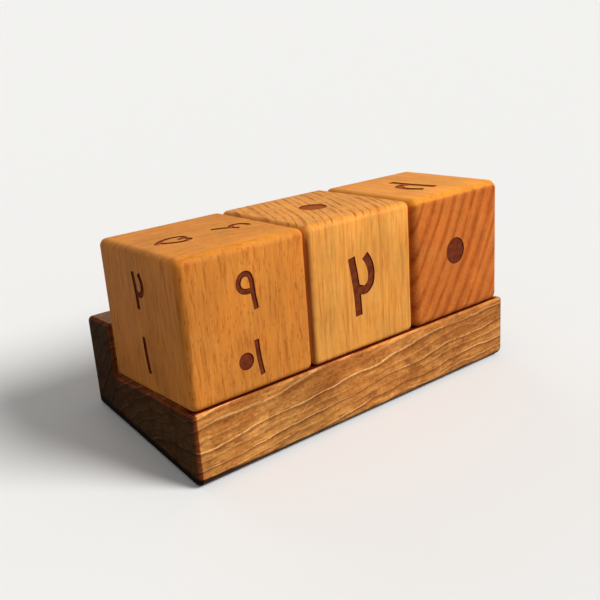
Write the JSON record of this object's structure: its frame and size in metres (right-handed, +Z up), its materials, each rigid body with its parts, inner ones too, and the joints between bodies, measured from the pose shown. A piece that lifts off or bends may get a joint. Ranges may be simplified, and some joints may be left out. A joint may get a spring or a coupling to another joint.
{
  "type": "perpetual desk calendar",
  "caption": "Wooden perpetual calendar: numbered cubes for month and day stand side by side in a leaning, L-shaped wooden stand and lift out to be turned.",
  "frame": {"origin": "on the table, in the middle of the calendar's outline seen from above", "axes": "+X along the row of cubes, from the month to the units of the day; +Y to the rear; +Z up"},
  "size_m": [0.1554, 0.0729, 0.0748],
  "materials": {
    "stained_pine": "brown stain under a thin satin oil",
    "orange_beech": "oiled, satin",
    "yellow_beech": "oiled, satin",
    "red_beech": "oiled, satin"
  },
  "bodies": {
    "stand": {"seat_block": "stained_pine", "back_rail": "stained_pine"},
    "month": {"month_cube": "orange_beech"},
    "tens": {"tens_cube": "yellow_beech"},
    "units": {"units_cube": "red_beech"}
  },
  "joints": [
    {"name": "month_lift", "type": "slide", "parent": "stand", "child": "month", "axis": [0, 0, 1], "range_m": [0, 0.06]},
    {"name": "tens_lift", "type": "slide", "parent": "stand", "child": "tens", "axis": [0, 0, 1], "range_m": [0, 0.06]},
    {"name": "units_lift", "type": "slide", "parent": "stand", "child": "units", "axis": [0, 0, 1], "range_m": [0, 0.06]}
  ]
}
